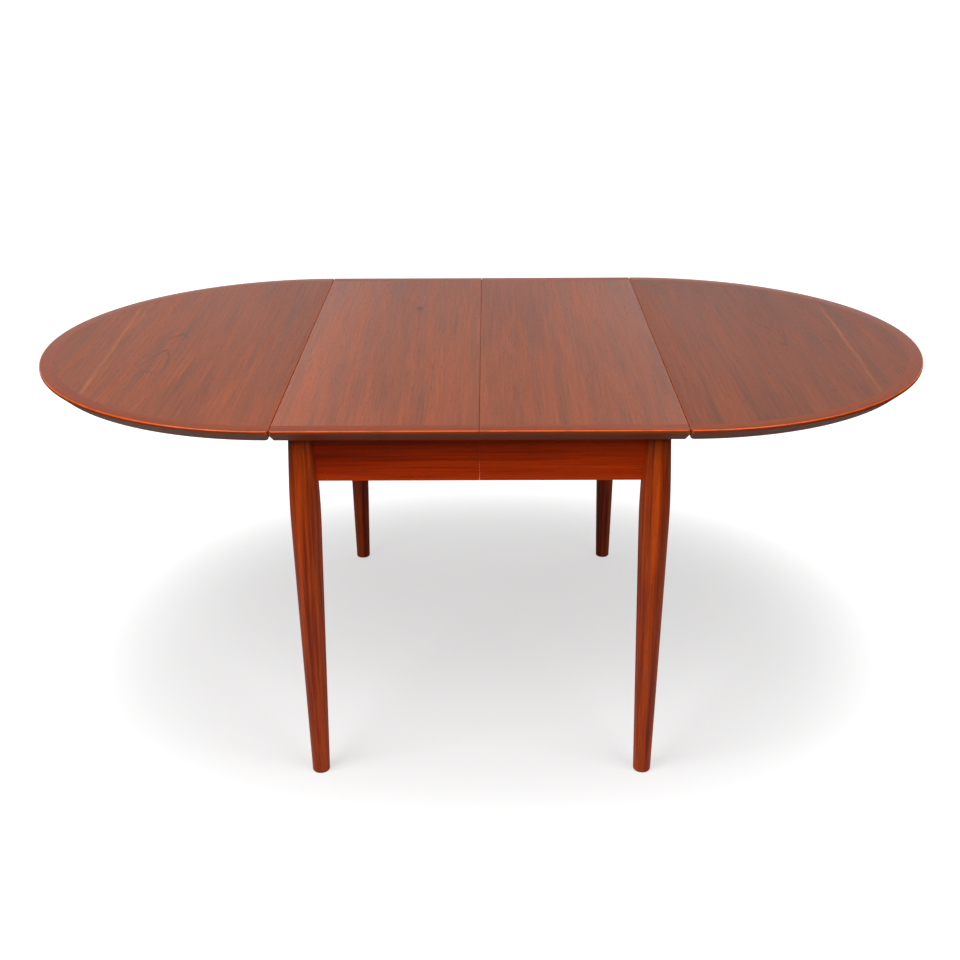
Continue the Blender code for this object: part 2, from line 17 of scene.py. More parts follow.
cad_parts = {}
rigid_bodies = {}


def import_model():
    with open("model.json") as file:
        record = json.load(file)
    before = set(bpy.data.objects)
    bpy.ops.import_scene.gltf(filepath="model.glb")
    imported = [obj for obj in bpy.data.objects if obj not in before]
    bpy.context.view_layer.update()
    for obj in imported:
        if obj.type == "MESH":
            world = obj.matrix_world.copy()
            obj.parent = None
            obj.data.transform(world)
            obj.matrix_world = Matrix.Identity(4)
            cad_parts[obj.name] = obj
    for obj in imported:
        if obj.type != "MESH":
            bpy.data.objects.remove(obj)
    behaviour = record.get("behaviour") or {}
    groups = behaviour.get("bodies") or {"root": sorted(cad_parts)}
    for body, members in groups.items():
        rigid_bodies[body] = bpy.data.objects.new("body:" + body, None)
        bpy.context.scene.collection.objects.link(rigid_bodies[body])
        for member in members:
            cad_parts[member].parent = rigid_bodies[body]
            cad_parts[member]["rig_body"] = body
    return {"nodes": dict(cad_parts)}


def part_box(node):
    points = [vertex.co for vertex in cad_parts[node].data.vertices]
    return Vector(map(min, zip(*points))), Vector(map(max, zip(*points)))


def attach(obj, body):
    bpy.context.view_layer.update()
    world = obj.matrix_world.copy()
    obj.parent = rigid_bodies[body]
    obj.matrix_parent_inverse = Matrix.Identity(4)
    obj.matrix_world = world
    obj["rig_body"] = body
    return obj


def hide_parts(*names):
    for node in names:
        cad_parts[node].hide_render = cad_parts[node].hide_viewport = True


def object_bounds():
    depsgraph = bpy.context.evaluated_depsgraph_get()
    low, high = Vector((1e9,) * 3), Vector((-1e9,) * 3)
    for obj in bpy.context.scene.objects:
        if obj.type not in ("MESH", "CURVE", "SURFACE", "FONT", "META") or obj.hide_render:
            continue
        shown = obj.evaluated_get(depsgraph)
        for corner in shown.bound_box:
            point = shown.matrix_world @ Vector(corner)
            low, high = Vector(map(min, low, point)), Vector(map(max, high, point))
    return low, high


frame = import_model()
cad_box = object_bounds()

# %% [markdown]
# ## Measures taken from the frame
#
# A joiner takes the sizes of a new board from its neighbours. In the same way the places
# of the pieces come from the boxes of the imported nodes, so a piece can't drift away from
# the body that it moves with. Only the sizes of worked edges and turned shapes are given.

# %% Read the main measures
TABLE_TOP = cad_box[1].z
HALF_DEPTH = cad_box[1].y
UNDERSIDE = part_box("top_left")[0].z
LEAF_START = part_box("leaf_right")[0].x
CENTRE_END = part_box("top_right")[1].x
FIELD_HALF_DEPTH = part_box("top_right")[1].y
LIPPING_WIDTH = HALF_DEPTH - FIELD_HALF_DEPTH
SEAM = (LEAF_START + CENTRE_END) / 2
LEAF_REACH = cad_box[1].x - SEAM
SIDES = (("left", -1), ("right", 1))
PLACES = (("front", -1), ("back", 1))
CORNERS = [(name, side, place, front) for name, side in SIDES for place, front in PLACES]
print("top", round(TABLE_TOP, 4), "seam", round(SEAM, 4), "leaf reach", round(LEAF_REACH, 4))

# %% Sizes of the worked edges
EDGE_ROUND = 0.002              # rounding of the top edge
EDGE_FLAT = 0.0035              # upright part left under the rounding
EDGE_CUTS = 5                   # steps in that rounding
UNDERCUT_WIDTH = 0.020          # how far the edge is cut away underneath
UNDERCUT_HEIGHT = TABLE_TOP - UNDERSIDE - EDGE_ROUND - EDGE_FLAT
GLUE_LINE = 0.00005             # half of the line between a field and its lipping
ARRIS = 0.0005                  # softening of a cut edge
CORNER = 0.0055                 # rounding of the four corners beside each seam
CENTRE_NOTCH = (0.005, 0.014)   # width and height cut under the centre's seam edge
LEAF_NOTCH = (0.009, 0.012)     # the same under the leaf's seam edge, rounded
LEANS = [math.radians(turn) for turn in (15, 30, 45, 60, 75)]   # cuts that round an edge
SPLIT_LINE = 0.00002            # half of the gap left where the two halves meet
GROOVE_LINE, GROOVE_DEPTH = 0.0004, 0.005   # half width and depth of the groove above it
print("undercut", UNDERCUT_WIDTH, "wide and", round(UNDERCUT_HEIGHT, 4), "high")

# %% [markdown]
# ## The camera
#
# A standing viewer looks down on the table from in front of it, a little to the right of
# its middle. The camera keeps this lens and place whatever is changed later, so it is made
# first. Its focus blur stays off, because the table is sharp from end to end.

# %% Set the camera
def add_object(name, data):
    """A new object in the scene, at the origin until it is moved."""
    thing = bpy.data.objects.new(name, data)
    bpy.context.scene.collection.objects.link(thing)
    return thing


camera_data = bpy.data.cameras.new("camera")
camera_data.lens = 49.36
camera_data.sensor_width = 36.0
camera_data.clip_start = 0.05
camera_data.clip_end = 100.0
camera = add_object("camera", camera_data)
camera.location = (0.0158, -2.6472, 1.5230)
camera.rotation_euler = [math.radians(turn) for turn in (67.278, 0.310, 0.272)]
bpy.context.scene.camera = camera
print("camera stands at", tuple(round(value, 3) for value in camera.location))

# %% [markdown]
# ## Putting nodes together
#
# Wiring a material by hand takes three steps for each node: make it, fill its sockets and
# draw its links. One small helper does all three, so that a finish reads like a recipe.

# %% A helper for nodes
def put(tree, kind, fill=None, **options):
    """Add a node; fill gives its sockets values or links, options set the node itself."""
    node = tree.nodes.new(kind)
    for option, value in options.items():
        setattr(node, option, value)
    for socket, value in (fill or {}).items():
        if isinstance(value, bpy.types.NodeSocket):
            tree.links.new(value, node.inputs[socket])
        else:
            node.inputs[socket].default_value = value
    return node


def maths(tree, operation, first, second=0.0, third=0.0, clamp=False):
    """One sum on values; returns its result socket."""
    node = put(tree, "ShaderNodeMath", {0: first, 1: second, 2: third}, operation=operation)
    node.use_clamp = clamp
    return node.outputs[0]


def blend(tree, share, first, second, way="MIX"):
    """Mix two colours by a share; returns the colour socket."""
    node = put(tree, "ShaderNodeMix", {0: share, 6: first, 7: second},
               data_type="RGBA", blend_type=way)
    return node.outputs[2]


def ramp(tree, value, low, high, start=0.0, end=1.0):
    """Take a value between low and high smoothly from start to end."""
    node = put(tree, "ShaderNodeMapRange", {0: value, 1: low, 2: high, 3: start, 4: end},
               interpolation_type="SMOOTHSTEP")
    return node.outputs[0]


def noise(tree, place, across, along, detail=2.0, roughness=0.5):
    """Soft noise around a half, fine across the grain and long along it."""
    scale = put(tree, "ShaderNodeCombineXYZ", {0: across, 1: along, 2: across}).outputs[0]
    place = put(tree, "ShaderNodeVectorMath", {0: place, 1: scale}, operation="MULTIPLY")
    return put(tree, "ShaderNodeTexNoise",
               {"Vector": place.outputs[0], "Scale": 1.0, "Detail": detail,
                "Roughness": roughness}).outputs[0]


def patchy(tree, place, across, along, low, high, detail=2.0, roughness=0.5, **ends):
    """The same noise sharpened to patches, between two of its levels."""
    cloud = noise(tree, place, across, along, detail, roughness)
    return ramp(tree, cloud, low, high, **ends)


# %% [markdown]
# ## One recipe for wood
#
# Wood shows the same things at several scales: broad changes of tone from board to board,
# bands a finger wide, fine streaks, and pores that look like short dark scratches. All of
# them are long along the grain and narrow across it. The group below makes them from
# noise that is stretched along Y, and each material turns its own boards to suit. Smoky
# patches and clusters of dark dashes are laid over them, as mineral streaks are in teak.
# The group gives a colour, a roughness and a height, and the shader stays in the material.

# %% The wood group: sockets
def new_group(name, takes, gives):
    """An empty node group with named inputs (kind and start value) and outputs."""
    tree = bpy.data.node_groups.new(name, "ShaderNodeTree")
    for label, (kind, start) in takes.items():
        socket = tree.interface.new_socket(label, in_out="INPUT", socket_type=kind)
        if start is not None:
            socket.default_value = start
    for label, kind in gives.items():
        tree.interface.new_socket(label, in_out="OUTPUT", socket_type=kind)
    entry = tree.nodes.new("NodeGroupInput")
    leave = tree.nodes.new("NodeGroupOutput")
    return tree, entry, leave


NUMBER, COLOUR, VECTOR = "NodeSocketFloat", "NodeSocketColor", "NodeSocketVector"
wood_tree, wood_in, wood_out = new_group(
    "Wood grain",
    {"Place": (VECTOR, None),
     "Light wood": (COLOUR, (0.34, 0.07, 0.014, 1.0)),
     "Dark wood": (COLOUR, (0.24, 0.04, 0.008, 1.0)),
     "Pore colour": (COLOUR, (0.10, 0.03, 0.015, 1.0)),
     "Broad": (NUMBER, 0.6), "Bands": (NUMBER, 0.8), "Streaks": (NUMBER, 0.8),
     "Pores": (NUMBER, 0.5), "Band count": (NUMBER, 45.0), "Streak count": (NUMBER, 260.0),
     "Waviness": (NUMBER, 0.006), "Smoke": (NUMBER, 0.3), "Dashes": (NUMBER, 0.0),
     "Roughness": (NUMBER, 0.38)},
    {"Color": COLOUR, "Roughness": NUMBER, "Height": NUMBER})
print("wood group takes", len(wood_in.outputs) - 1, "values")

# %% The wood group: grain that wanders a little
wander = noise(wood_tree, wood_in.outputs["Place"], 3.0, 2.2, 1.0)
wander = maths(wood_tree, "SUBTRACT", wander, 0.5)
wander = maths(wood_tree, "MULTIPLY", wander, wood_in.outputs["Waviness"])
shift = put(wood_tree, "ShaderNodeCombineXYZ", {0: wander, 2: wander}).outputs[0]
wavy_place = put(wood_tree, "ShaderNodeVectorMath",
                 {0: wood_in.outputs["Place"], 1: shift}, operation="ADD").outputs[0]

# %% The wood group: four scales of pattern
broad = noise(wood_tree, wavy_place, 5.0, 0.8)
bands = noise(wood_tree, wavy_place, wood_in.outputs["Band count"], 1.4, 3.0, 0.55)
streaks = noise(wood_tree, wavy_place, wood_in.outputs["Streak count"], 5.0, 3.0, 0.6)
pores = patchy(wood_tree, wavy_place, 900.0, 38.0, 0.60, 0.72, 1.0)

# %% The wood group: tone, colour, roughness and height
tone = 0.5
for pattern, strength in ((broad, "Broad"), (bands, "Bands"), (streaks, "Streaks")):
    part = maths(wood_tree, "SUBTRACT", pattern, 0.5)
    tone = maths(wood_tree, "MULTIPLY_ADD", part, wood_in.outputs[strength], tone)
tone = maths(wood_tree, "ADD", tone, 0.0, clamp=True)
wood_colour = blend(wood_tree, tone, wood_in.outputs["Dark wood"],
                    wood_in.outputs["Light wood"])
pore_share = maths(wood_tree, "MULTIPLY", pores, wood_in.outputs["Pores"])
wood_colour = blend(wood_tree, pore_share, wood_colour, wood_in.outputs["Pore colour"])
smoke = patchy(wood_tree, wavy_place, 30.0, 2.4, 0.48, 0.72, 3.0, 0.6)
smoke = maths(wood_tree, "MULTIPLY", smoke, wood_in.outputs["Smoke"])
smoke_colour = blend(wood_tree, 1.0, wood_colour, (0.62, 0.80, 1.25, 1.0), "MULTIPLY")
wood_colour = blend(wood_tree, smoke, wood_colour, smoke_colour)
cluster = patchy(wood_tree, wavy_place, 16.0, 3.2, 0.50, 0.64)
dash = patchy(wood_tree, wavy_place, 520.0, 20.0, 0.56, 0.70)
dash = maths(wood_tree, "MULTIPLY", maths(wood_tree, "MULTIPLY", dash, cluster),
             wood_in.outputs["Dashes"])
wood_colour = blend(wood_tree, dash, wood_colour, wood_in.outputs["Pore colour"])
gloss = maths(wood_tree, "MULTIPLY_ADD", maths(wood_tree, "SUBTRACT", bands, 0.5), 0.12,
              wood_in.outputs["Roughness"])
gloss = maths(wood_tree, "MULTIPLY_ADD", pore_share, 0.2, gloss, clamp=True)
height = maths(wood_tree, "MULTIPLY_ADD", streaks, 0.4, 0.5)
height = maths(wood_tree, "SUBTRACT", height, maths(wood_tree, "MULTIPLY", pore_share, 0.6))
for label, socket in (("Color", wood_colour), ("Roughness", gloss), ("Height", height)):
    wood_tree.links.new(socket, wood_out.inputs[label])
print("wood group has", len(wood_tree.nodes), "nodes")

# %% [markdown]
# ## One recipe for a painted edge highlight and wear
#
# Light catches the rounded edges of a table, and the narrow faces there are painted a
# lighter orange for it: a painted highlight. Hands and cloths polish the same edges, so they
# are made shinier as well. The pieces below mark the narrow faces of their softened edges
# with an attribute named "edge". This group breaks that mark up with noise, so that the
# painted highlight comes and goes along an edge instead of drawing a line around it.

# %% The edge highlight and wear group
highlight_and_wear_tree, highlight_and_wear_in, highlight_and_wear_out = new_group(
    "Painted edge highlight and wear",
    {"Place": (VECTOR, None), "Color": (COLOUR, (0.5, 0.5, 0.5, 1.0)),
     "Highlight color": (COLOUR, (0.5, 0.12, 0.02, 1.0)), "Amount": (NUMBER, 0.6),
     "Roughness": (NUMBER, 0.4)},
    {"Color": COLOUR, "Roughness": NUMBER})
edge_mark = put(highlight_and_wear_tree, "ShaderNodeAttribute", attribute_name="edge").outputs["Fac"]
patches = patchy(highlight_and_wear_tree, highlight_and_wear_in.outputs["Place"], 28.0, 28.0, 0.25, 0.6, 3.0,
                 start=0.35)
# The marked edge faces get a painted highlight, the lit orange of a rounded edge broken into
# patches, and a lower roughness as on a polished edge.
highlight_and_wear = maths(highlight_and_wear_tree, "MULTIPLY", edge_mark, patches)
highlight_and_wear = maths(highlight_and_wear_tree, "MULTIPLY", highlight_and_wear, highlight_and_wear_in.outputs["Amount"], clamp=True)
highlight_and_wear_tree.links.new(blend(highlight_and_wear_tree, highlight_and_wear, highlight_and_wear_in.outputs["Color"],
                          highlight_and_wear_in.outputs["Highlight color"]), highlight_and_wear_out.inputs["Color"])
highlight_and_wear_tree.links.new(maths(highlight_and_wear_tree, "MULTIPLY_ADD", highlight_and_wear, -0.12,
                          highlight_and_wear_in.outputs["Roughness"]), highlight_and_wear_out.inputs["Roughness"])
print("wear group has", len(highlight_and_wear_tree.nodes), "nodes")

# %% [markdown]
# ## Teak finishes
#
# The same tree gives different faces to different pieces. Veneer on the fields is quiet
# and even, solid lippings and rails show more orange and more stripe, and the legs show
# long stripes from top to foot. So all of them are started and finished by the same
# helpers, and each finish gives its own colours and the direction of its grain.

# %% Start and finish a wood material
# The first colour below is a painted highlight: the bright orange that light gives rounded
# edges. The amount below it sets that highlight and the polish of the edges together.
EDGE_HIGHLIGHT_COLOUR = (0.90, 0.105, 0.002, 1.0)
HIGHLIGHT_AND_WEAR_AMOUNT = 0.9
GRAIN_DEPTH = 0.00006
ALONG_X = (0.0, 0.0, math.radians(90))
ALONG_Y = (0.0, 0.0, 0.0)
ALONG_Z = (math.radians(90), 0.0, 0.0)


def new_material(name):
    """A material and its node tree, with the plain shader in it."""
    material = bpy.data.materials.new(name)
    material.use_nodes = True
    return material, material.node_tree


def start_wood(name, turn=ALONG_Y, shift=(0.0, 0.0, 0.0), attribute=None):
    """A new material with its shader, and the place of each point turned to the grain."""
    material, tree = new_material(name)
    if attribute is None:
        place = put(tree, "ShaderNodeTexCoord").outputs["Object"]
    else:
        place = put(tree, "ShaderNodeAttribute", attribute_name=attribute).outputs["Vector"]
    mapping = put(tree, "ShaderNodeMapping", {"Vector": place, "Location": shift,
                                              "Rotation": turn})
    return material, tree, mapping.outputs[0]


def grain(tree, place, **values):
    """The wood group in a material, with its own values."""
    fill = {label.replace("_", " "): value for label, value in values.items()}
    return put(tree, "ShaderNodeGroup", {"Place": place, **fill}, node_tree=wood_tree)


def finish_wood(material, tree, place, wood, colour, shine=0.5):
    """Add the painted edge highlight and edge polish to a colour and bump from the wood group,
    and feed the shader.
    """
    highlight_and_wear = put(tree, "ShaderNodeGroup",
               {"Place": place, "Color": colour, "Roughness": wood.outputs["Roughness"],
                "Highlight color": EDGE_HIGHLIGHT_COLOUR, "Amount": HIGHLIGHT_AND_WEAR_AMOUNT}, node_tree=highlight_and_wear_tree)
    bump = put(tree, "ShaderNodeBump", {"Height": wood.outputs["Height"],
                                        "Distance": GRAIN_DEPTH, "Strength": 1.0})
    shader = tree.nodes["Principled BSDF"]
    shader.inputs["Specular IOR Level"].default_value = shine
    tree.links.new(highlight_and_wear.outputs["Color"], shader.inputs["Base Color"])
    tree.links.new(highlight_and_wear.outputs["Roughness"], shader.inputs["Roughness"])
    tree.links.new(bump.outputs["Normal"], shader.inputs["Normal"])
    return material


# %% Solid teak for rails, legs and lippings
def solid_wood(name, light, dark, turn=ALONG_X, attribute=None, shine=0.3, **values):
    """Solid wood, with the stripes of a sawn and planed board."""
    material, tree, place = start_wood(name, turn, attribute=attribute)
    wood = grain(tree, place, Light_wood=light, Dark_wood=dark, **values)
    return finish_wood(material, tree, place, wood, wood.outputs["Color"], shine)


RAIL = {"light": (0.80, 0.064, 0.001, 1.0), "dark": (0.28, 0.014, 0.001, 1.0),
        "shine": 0.15, "Broad": 1.2, "Bands": 1.6, "Streaks": 0.9, "Band_count": 60.0,
        "Waviness": 0.012}
LIPPING = {"light": (0.345, 0.060, 0.006, 1.0), "dark": (0.21, 0.031, 0.004, 1.0),
           "shine": 0.5, "Broad": 0.6, "Bands": 0.8}
teak_rail_x = solid_wood("Teak rail, grain along the table", **RAIL)
teak_rail_y = solid_wood("Teak rail, grain across the table", turn=ALONG_Y, **RAIL)
teak_leg = solid_wood("Teak leg", (0.72, 0.092, 0.002, 1.0), (0.22, 0.016, 0.001, 1.0),
                      ALONG_Z, Broad=0.6, Bands=2.2, Streaks=1.2, Band_count=110.0,
                      Waviness=0.006)
teak_lipping = solid_wood("Teak lipping", **LIPPING)
teak_bent_lipping = solid_wood("Teak curved lipping", turn=ALONG_Y, attribute="grain",
                               **LIPPING)
print("solid teak finishes: 5")

# %% [markdown]
# ## Marks in the veneer
#
# Even quiet veneer has marks that people know their table by: a light streak where two
# strips meet, fine dark lines where the growth rings come to the surface, and a small
# knot. Each is a mask that is drawn around a centre on the board. Lengths are in metres,
# so a mark keeps its size, and noise breaks its outline.

# %% Masks for the marks
def around(tree, place, centre, size, turn=0.0):
    """The place measured from a mark's centre, in units of the mark's size."""
    node = put(tree, "ShaderNodeMapping",
               {"Vector": place, "Location": (*centre, TABLE_TOP), "Scale": (*size, 1.0),
                "Rotation": (0.0, 0.0, math.radians(turn))}, vector_type="TEXTURE")
    return node.outputs[0]


def length_of(tree, vector):
    """How long a vector is."""
    return put(tree, "ShaderNodeVectorMath", {0: vector}, operation="LENGTH").outputs["Value"]


def light_streak(tree, place, colour, centre, size, turn):
    """A thin light line with soft ends, about a centimetre wide."""
    local = around(tree, place, centre, size, turn)
    wobble = noise(tree, place, 40.0, 6.0)
    parts = put(tree, "ShaderNodeSeparateXYZ", {0: local})
    across = maths(tree, "ADD", parts.outputs["X"],
                   maths(tree, "MULTIPLY_ADD", wobble, 0.8, -0.4))
    line = ramp(tree, maths(tree, "ABSOLUTE", across), 0.15, 1.0, 1.0, 0.0)
    ends = ramp(tree, maths(tree, "ABSOLUTE", parts.outputs["Y"]), 0.75, 1.0, 1.0, 0.0)
    grainy = patchy(tree, place, 260.0, 8.0, 0.3, 0.7, start=0.15, end=0.50)
    share = maths(tree, "MULTIPLY", maths(tree, "MULTIPLY", line, ends), grainy)
    return blend(tree, share, colour, (0.50, 0.13, 0.016, 1.0))


def ring_lines(tree, place, colour, centre, size, count, strength, turn=0.0):
    """Broken dark lines where growth rings meet the surface, as nested arches."""
    local = around(tree, place, centre, size, turn)
    parts = put(tree, "ShaderNodeSeparateXYZ", {0: local})
    bend = noise(tree, place, 26.0, 7.0, 3.0, 0.6)
    square = maths(tree, "MULTIPLY", parts.outputs["X"], parts.outputs["X"])
    arch = maths(tree, "MULTIPLY_ADD", square, 1.9, parts.outputs["Y"])
    arch = maths(tree, "MULTIPLY_ADD", bend, 0.5, arch)
    wave = maths(tree, "SINE", maths(tree, "MULTIPLY", arch, count))
    line = ramp(tree, wave, 0.84, 1.0)
    window = ramp(tree, length_of(tree, local), 0.55, 1.0, 1.0, 0.0)
    breaks = patchy(tree, place, 60.0, 9.0, 0.36, 0.54)
    share = maths(tree, "MULTIPLY", maths(tree, "MULTIPLY", line, window), breaks)
    share = maths(tree, "MULTIPLY", share, strength)
    return blend(tree, share, colour, (0.055, 0.026, 0.016, 1.0))


def knot(tree, place, colour, centre):
    """A small dark knot, with the grain swirling to a tail below it."""
    local = around(tree, place, centre, (0.016, 0.034))
    bend = noise(tree, place, 120.0, 40.0, 3.0)
    distance = maths(tree, "MULTIPLY_ADD", bend, 0.9, length_of(tree, local))
    core = ramp(tree, distance, 0.60, 1.20, 0.85, 0.0)
    colour = blend(tree, core, colour, (0.075, 0.012, 0.006, 1.0))
    tail = length_of(tree, around(tree, place, (centre[0] + 0.002, centre[1] - 0.045),
                                  (0.005, 0.060)))
    share = ramp(tree, maths(tree, "MULTIPLY_ADD", bend, 0.8, tail), 0.6, 1.3, 0.4, 0.0)
    return blend(tree, share, colour, (0.09, 0.022, 0.012, 1.0))


# %% Teak veneer for the fields
def teak_veneer(name, shift, level, marks=()):
    """Quiet veneer for a field, with marks: each is a maker and its values."""
    material, tree, place = start_wood(name, ALONG_Y, shift)
    light = [level * value for value in (0.385, 0.074, 0.0100)] + [1.0]
    dark = [level * value for value in (0.190, 0.036, 0.0060)] + [1.0]
    wood = grain(tree, place, Light_wood=light, Dark_wood=dark,
                 Pore_colour=(0.075, 0.030, 0.017, 1.0), Broad=1.1, Bands=1.2,
                 Streaks=1.6, Smoke=0.40, Dashes=0.60, Pores=0.40)
    colour = wood.outputs["Color"]
    plain_place = put(tree, "ShaderNodeTexCoord").outputs["Object"]
    for make, values in marks:
        colour = make(tree, plain_place, colour, *values)
    return finish_wood(material, tree, place, wood, colour)


veneer = {
    "top_left": teak_veneer("Teak veneer, left half", (0.0, 0.0, 0.0), 1.0, [
        (knot, ((-0.138, 0.255),))]),
    "top_right": teak_veneer("Teak veneer, right half", (0.3, 0.2, 0.0), 0.97),
    "leaf_left": teak_veneer("Teak veneer, left leaf", (0.7, 0.5, 0.0), 0.95, [
        (light_streak, ((-0.757, -0.045), (0.0065, 0.35), 3.0)),
        (ring_lines, ((-0.640, -0.04), (0.060, 0.25), 12.0, 0.55, -4.0))]),
    "leaf_right": teak_veneer("Teak veneer, right leaf", (1.1, 0.9, 0.0), 0.80, [
        (light_streak, ((0.757, -0.045), (0.0065, 0.35), -2.5)),
        (ring_lines, ((0.62, 0.06), (0.050, 0.22), 12.0, 0.55, 184.0))]),
}
print("veneer finishes:", len(veneer))

# %% Beech for the hidden woodwork
beech = solid_wood("Beech", (0.62, 0.40, 0.22, 1.0), (0.44, 0.25, 0.12, 1.0),
                   Pore_colour=(0.25, 0.13, 0.06, 1.0), Broad=0.8, Bands=0.7, Streaks=0.5,
                   Pores=0.35, Roughness=0.6)

# %% [markdown]
# ## Metal finishes
#
# The hinges are brass and their pins are steel. Old brass isn't one even colour: it is
# duller and browner where nobody rubs it, and it carries fine brushed lines. Noise makes
# the dull patches, and noise stretched along Y makes the lines.

# %% Brass and steel
def metal(name, bright, dull, roughness):
    """Brushed metal with dull patches."""
    material, tree = new_material(name)
    place = put(tree, "ShaderNodeTexCoord").outputs["Object"]
    patches = patchy(tree, place, 90.0, 90.0, 0.35, 0.65, 4.0)
    lines = noise(tree, place, 2400.0, 60.0)
    rough = maths(tree, "MULTIPLY_ADD", patches, 0.25, roughness)
    rough = maths(tree, "MULTIPLY_ADD", lines, 0.1, rough, clamp=True)
    bump = put(tree, "ShaderNodeBump", {"Height": lines, "Distance": 0.00002})
    shader = tree.nodes["Principled BSDF"]
    shader.inputs["Metallic"].default_value = 1.0
    tree.links.new(blend(tree, patches, bright, dull), shader.inputs["Base Color"])
    tree.links.new(rough, shader.inputs["Roughness"])
    tree.links.new(bump.outputs["Normal"], shader.inputs["Normal"])
    return material


brass = metal("Old brass", (0.78, 0.56, 0.24, 1.0), (0.45, 0.28, 0.10, 1.0), 0.25)
steel = metal("Steel", (0.58, 0.57, 0.55, 1.0), (0.34, 0.31, 0.28, 1.0), 0.28)
print("metals:", brass.name, "and", steel.name)

# %% [markdown]
# ## Making and cutting a piece
#
# Every piece is worked as a joiner works it: a plain board is cut with a plane, its edges
# are rounded or eased, and then it goes on the table. A bmesh holds the work in hand. The
# narrow faces of eased edges are marked, so that the finish knows where to paint the edge
# highlight and make the wood shinier.

# %% Put a finished bmesh on the table
def body_of(node):
    """The CAD body that a node moves with."""
    return frame["nodes"][node]["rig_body"]


SHARP = math.radians(30)        # faces that meet at more than this show a crisp edge


def mesh_from(name, bm):
    """A mesh from a finished bmesh, which is then let go."""
    mesh = bpy.data.meshes.new(name)
    bm.to_mesh(mesh)
    bm.free()
    return mesh


def on_table(name, bm, finish, body, replaced=()):
    """Make the object, smooth its curved faces, and tie it to its body."""
    mesh = mesh_from(name, bm)
    mesh.shade_smooth()
    mesh.set_sharp_from_angle(angle=SHARP)
    mesh.materials.append(finish)
    piece = add_object(name, mesh)
    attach(piece, body)
    if replaced:
        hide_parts(*replaced)
    print("made", name, "with", len(mesh.polygons), "faces")
    return piece


# %% A board, a cut and an eased edge
HAIR = 0.0000001                # points this close to a cut lie on it


def board(low, high):
    """A rectangular board between two corners, given in any order."""
    bm = bmesh.new()
    bmesh.ops.create_cube(bm, size=1.0)
    low, high = Vector(low), Vector(high)
    size = [abs(value) for value in high - low]
    bmesh.ops.scale(bm, vec=size, verts=bm.verts)
    bmesh.ops.translate(bm, vec=(low + high) / 2, verts=bm.verts)
    bm.faces.layers.float.new("edge")
    return bm


def score(bm, point, normal, saw_off=False):
    """Draw a line where a plane crosses the piece, or saw off what lies beyond it."""
    bmesh.ops.bisect_plane(bm, geom=bm.verts[:] + bm.edges[:] + bm.faces[:], dist=HAIR,
                           plane_co=point, plane_no=normal, clear_outer=saw_off)


def cut(bm, point, normal):
    """Saw off everything on the side that the normal points to, and close the cut."""
    score(bm, point, normal, saw_off=True)
    rim = [edge for edge in bm.edges if edge.is_boundary]
    bmesh.ops.holes_fill(bm, edges=rim, sides=0)
    bmesh.ops.recalc_face_normals(bm, faces=bm.faces)


def ease(bm, chosen, radius, segments=3):
    """Round the chosen edges, and mark the new narrow faces for the painted edge highlight."""
    mark = bm.faces.layers.float.get("edge")
    made = bmesh.ops.bevel(bm, geom=chosen, offset=radius, offset_type="OFFSET",
                           affect="EDGES", segments=segments, profile=0.5,
                           clamp_overlap=True, material=-1)
    for face in made["faces"]:
        face[mark] = 1.0


def edges_where(bm, test):
    """The edges whose two ends both pass a test on their place."""
    return [edge for edge in bm.edges if all(test(vert.co) for vert in edge.verts)]


def near(value, target, slack=0.00002):
    """True if two lengths agree."""
    return abs(value - target) < slack


# %% [markdown]
# ## The seam edges
#
# Each leaf meets the centre at a narrow seam. Underneath, the centre's edge is cut away
# steeply and the leaf's edge is rounded, which leaves room for the hinge knuckle and for
# the leaf to swing. Seen from above, the corners beside the seam are rounded a little.
# A rounding made of a few flat cuts and smooth shading looks the same as a routed one.

# %% Shape the seam side of a board
def round_corner(bm, corner, out_x, out_y):
    """Round one upright corner with flat cuts; out_x and out_y point out of the board."""
    centre = Vector((corner[0] - out_x * CORNER, corner[1] - out_y * CORNER, 0.0))
    for lean in LEANS:
        normal = Vector((out_x * math.cos(lean), out_y * math.sin(lean), 0.0))
        cut(bm, centre + normal * CORNER, normal)


def notch_centre(bm, side):
    """Cut away the lower part of the centre's seam edge."""
    width, rise = CENTRE_NOTCH
    cut(bm, (side * (CENTRE_END - width), 0, UNDERSIDE), (side * rise, 0, -width))


def notch_leaf(bm, side):
    """Round the lower part of the leaf's seam edge."""
    width, rise = LEAF_NOTCH
    for lean in LEANS:
        spot = (side * (LEAF_START + width * (1 - math.cos(lean))), 0,
                UNDERSIDE + rise * (1 - math.sin(lean)))
        cut(bm, spot, (-side * math.cos(lean) / width, 0, -math.sin(lean) / rise))


def ease_top_edges(bm, test):
    """Take the sharpness off top edges that pass a test."""
    chosen = edges_where(bm, lambda co: near(co.z, TABLE_TOP) and test(co))
    ease(bm, chosen, ARRIS, 2)


def open_groove(bm):
    """Lean the top of a split edge back, so that a fine dark line shows."""
    score(bm, (0, 0, TABLE_TOP - GROOVE_DEPTH), (0, 0, 1))
    for vert in bm.verts:
        if near(abs(vert.co.x), SPLIT_LINE) and near(vert.co.z, TABLE_TOP, EDGE_ROUND):
            vert.co.x = math.copysign(GROOVE_LINE, vert.co.x)


# %% [markdown]
# ## The lippings of the centre
#
# A lipping is a strip of solid wood glued around a veneered board. It takes the knocks and
# it can be shaped, which veneer can't. Here it has a rounded top edge, a narrow upright
# face and a wide cut underneath that makes the top look thin. A plain board, one sloping
# cut and one bevel give that section.

